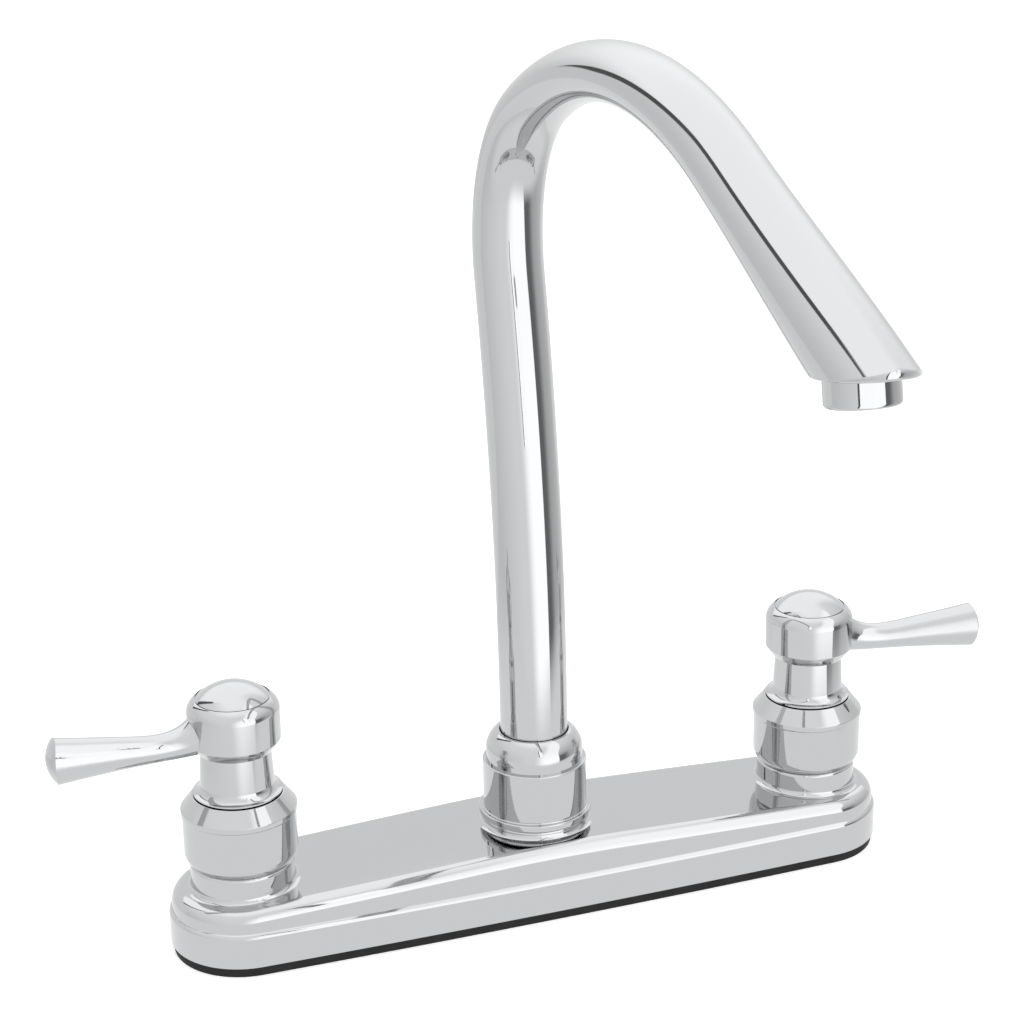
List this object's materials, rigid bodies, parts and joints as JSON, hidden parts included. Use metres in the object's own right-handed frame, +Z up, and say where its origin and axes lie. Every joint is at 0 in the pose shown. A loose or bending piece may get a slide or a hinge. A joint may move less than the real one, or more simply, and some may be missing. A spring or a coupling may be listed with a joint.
{
  "type": "two handle kitchen faucet",
  "caption": "Deck-mounted kitchen mixer: arched deck plate, high swivel spout with aerator and a lever valve at each end.",
  "frame": {"origin": "on the deck, under the spout's axis: the middle of the gasket's underside", "axes": "+X along the deck plate towards the cold handle on the right, -Y towards the user, where the spout points, +Z up, away from the deck"},
  "size_m": [0.3228, 0.2642, 0.3489],
  "materials": {
    "chrome": "polished chrome plate",
    "brass": "machined brass",
    "copper": "drawn copper tube",
    "steel": "plain steel",
    "rubber": "matt black rubber",
    "ceramic": null,
    "nylon": "natural nylon",
    "plastic": "moulded plastic"
  },
  "bodies": {
    "base": {"base_plate": "chrome", "hub_nut": "chrome", "base_gasket": "rubber", "shank_nuts": "brass", "shank_washers": "steel", "plate_lock_nuts": "brass", "spout_socket": "brass", "left_valve_body": "brass", "left_seat_seal": "rubber", "left_fixed_disc": "ceramic", "left_cartridge": "brass", "left_bonnet": "chrome", "left_stem_o_ring": "rubber", "left_waterway": "copper", "right_valve_body": "brass", "right_seat_seal": "rubber", "right_fixed_disc": "ceramic", "right_cartridge": "brass", "right_bonnet": "chrome", "right_stem_o_ring": "rubber", "right_waterway": "copper"},
    "spout": {"spout_tube": "chrome", "spout_bushing": "brass", "spout_slip_ring": "nylon", "spout_o_rings": "rubber", "aerator_housing": "chrome", "aerator_insert": "plastic", "aerator_washer": "rubber"},
    "left_lever": {"left_handle": "chrome", "left_handle_cap": "chrome", "left_handle_screw": "steel", "left_stem": "brass", "left_moving_disc": "ceramic"},
    "right_lever": {"right_handle": "chrome", "right_handle_cap": "chrome", "right_handle_screw": "steel", "right_stem": "brass", "right_moving_disc": "ceramic"}
  },
  "joints": [
    {"name": "spout_swivel", "type": "hinge", "parent": "base", "child": "spout", "pos_m": [0, 0, 0.045], "axis": [0, 0, 1], "continuous": true},
    {"name": "left_valve", "type": "hinge", "parent": "base", "child": "left_lever", "pos_m": [-0.1016, 0, 0.06], "axis": [0, 0, 1], "range_deg": [0, 90]},
    {"name": "right_valve", "type": "hinge", "parent": "base", "child": "right_lever", "pos_m": [0.1016, 0, 0.06], "axis": [0, 0, 1], "range_deg": [-90, 0]}
  ]
}
